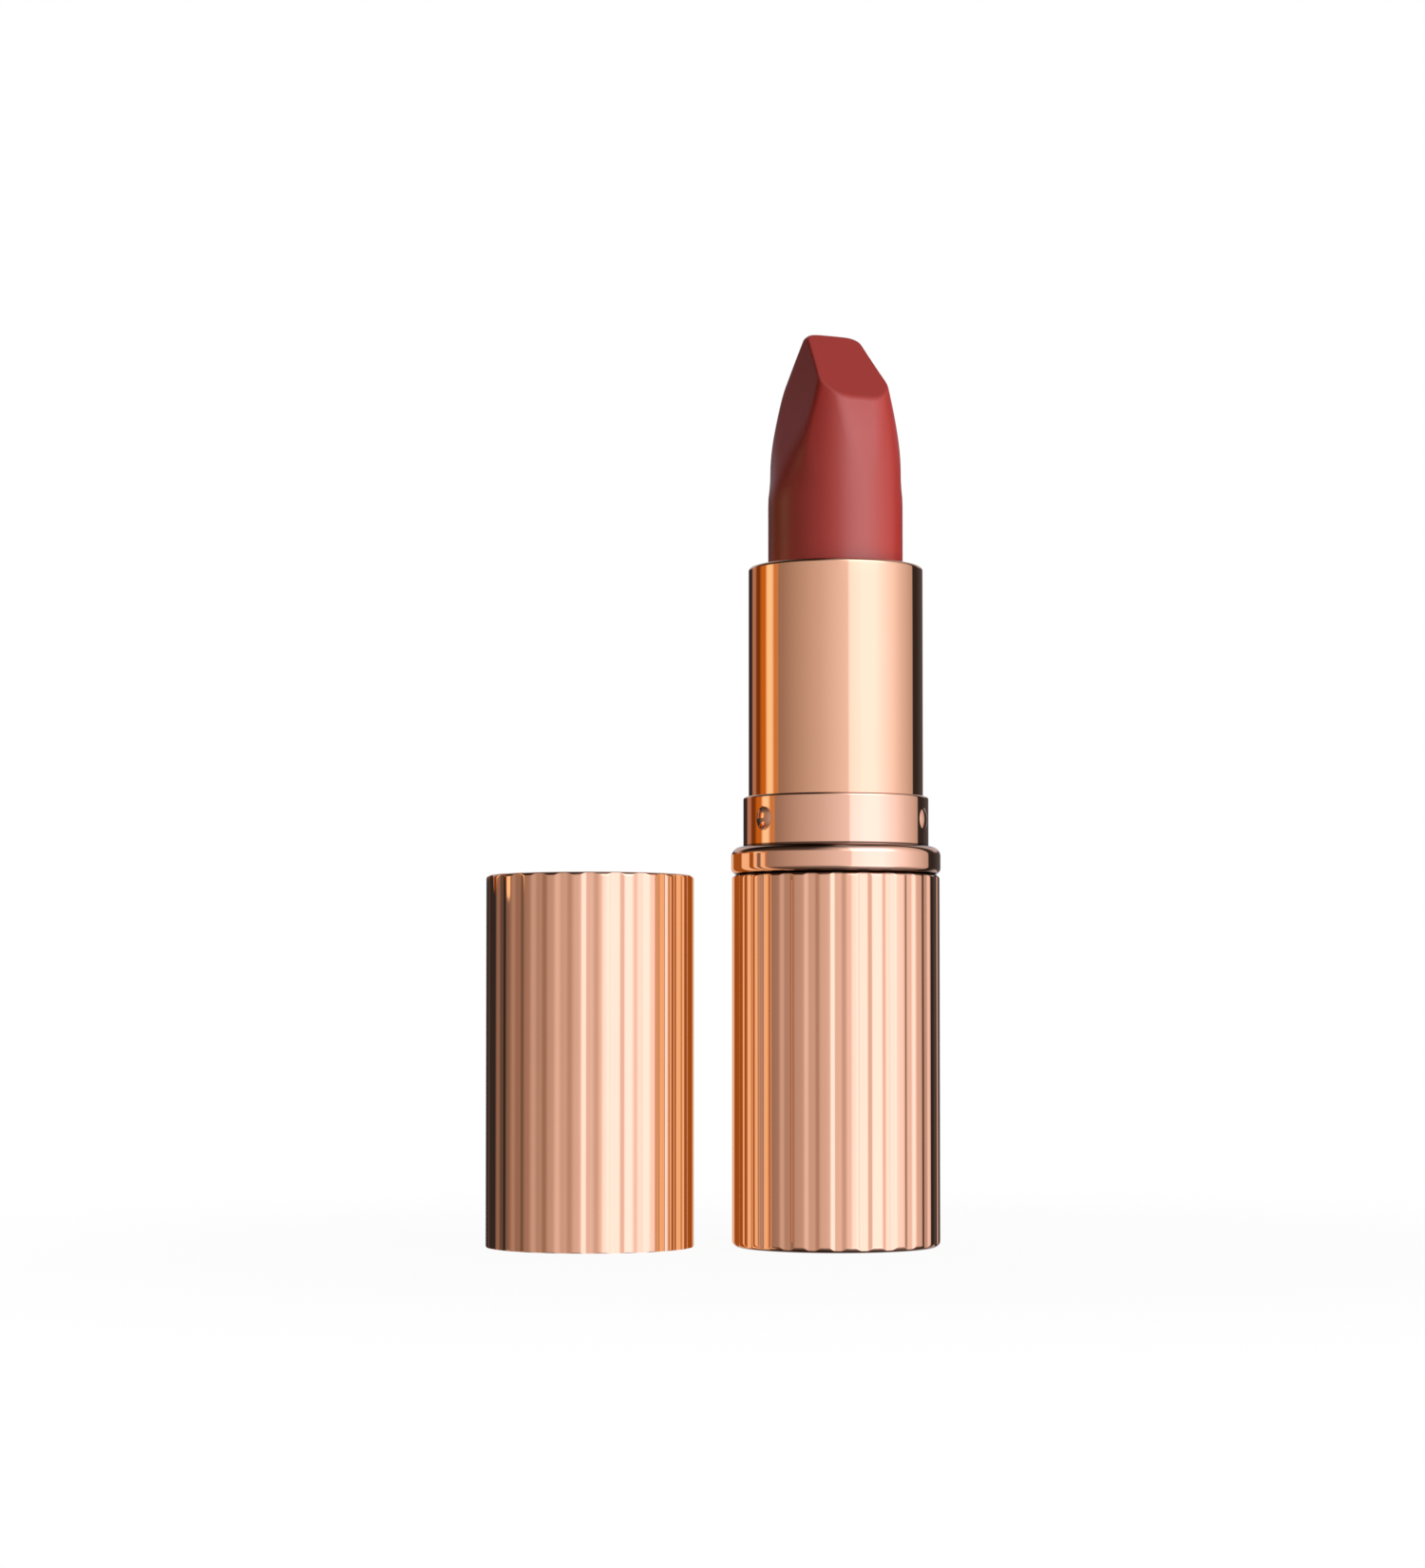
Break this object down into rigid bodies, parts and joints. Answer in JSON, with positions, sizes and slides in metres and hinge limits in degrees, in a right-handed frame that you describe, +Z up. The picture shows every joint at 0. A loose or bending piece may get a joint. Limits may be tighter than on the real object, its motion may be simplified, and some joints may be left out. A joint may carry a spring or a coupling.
{
  "type": "lipstick case",
  "caption": "Fluted metal twist-up lipstick case, open, with a slanted colour stick wound up and its pull-off cap standing beside it.",
  "frame": {"origin": "middle of the base's underside, on the surface that the case stands on", "axes": "+Z up along the base's axis, -Y towards the slanted face's side, the standing cap on the -X side"},
  "size_m": [0.0428, 0.0198, 0.0861],
  "materials": {
    "fluted_metal": "rose-gold anodised, bright polished",
    "smooth_metal": "rose-gold anodised, bright polished, a touch pinker",
    "tube_metal": "rose-gold anodised, bright polished",
    "label": "matt coated paper, blank",
    "liner_plastic": "moulded, satin",
    "guide_plastic": "moulded, satin",
    "spiral_plastic": "moulded, satin",
    "cup_plastic": "moulded, glossy, tinted to the metal",
    "weight_steel": "turned and zinc plated",
    "ring_steel": "spring steel",
    "drag_rubber": "matt",
    "lip_colour": "waxy satin red"
  },
  "bodies": {
    "base": {"base_shell": "fluted_metal", "base_label": "label", "base_liner": "liner_plastic", "base_weight": "weight_steel", "weight_plug": "liner_plastic", "bead_ring": "smooth_metal", "collar": "smooth_metal", "lower_drag_ring": "drag_rubber", "upper_drag_ring": "drag_rubber", "guide_sleeve": "guide_plastic", "retaining_ring": "ring_steel"},
    "tube": {"tube_shell": "tube_metal", "spiral_sleeve": "spiral_plastic"},
    "carrier": {"bullet_cup": "cup_plastic", "bullet": "lip_colour"},
    "cap": {"cap_shell": "fluted_metal", "cap_liner": "liner_plastic"}
  },
  "joints": [
    {"name": "tube_twist", "type": "hinge", "parent": "base", "child": "tube", "pos_m": [0, 0, 0.035], "axis": [0, 0, 1], "range_deg": [0, 468]},
    {"name": "bullet_rise", "type": "slide", "parent": "base", "child": "carrier", "axis": [0, 0, 1], "range_m": [-0.023, 0]},
    {"name": "cap_lift", "type": "slide", "parent": "base", "child": "cap", "axis": [0, 0, 1], "range_m": [0, 0.09]}
  ],
  "couplings": [
    {"joint": "bullet_rise", "follows": "tube_twist", "m_per_rad": -0.0028158}
  ]
}
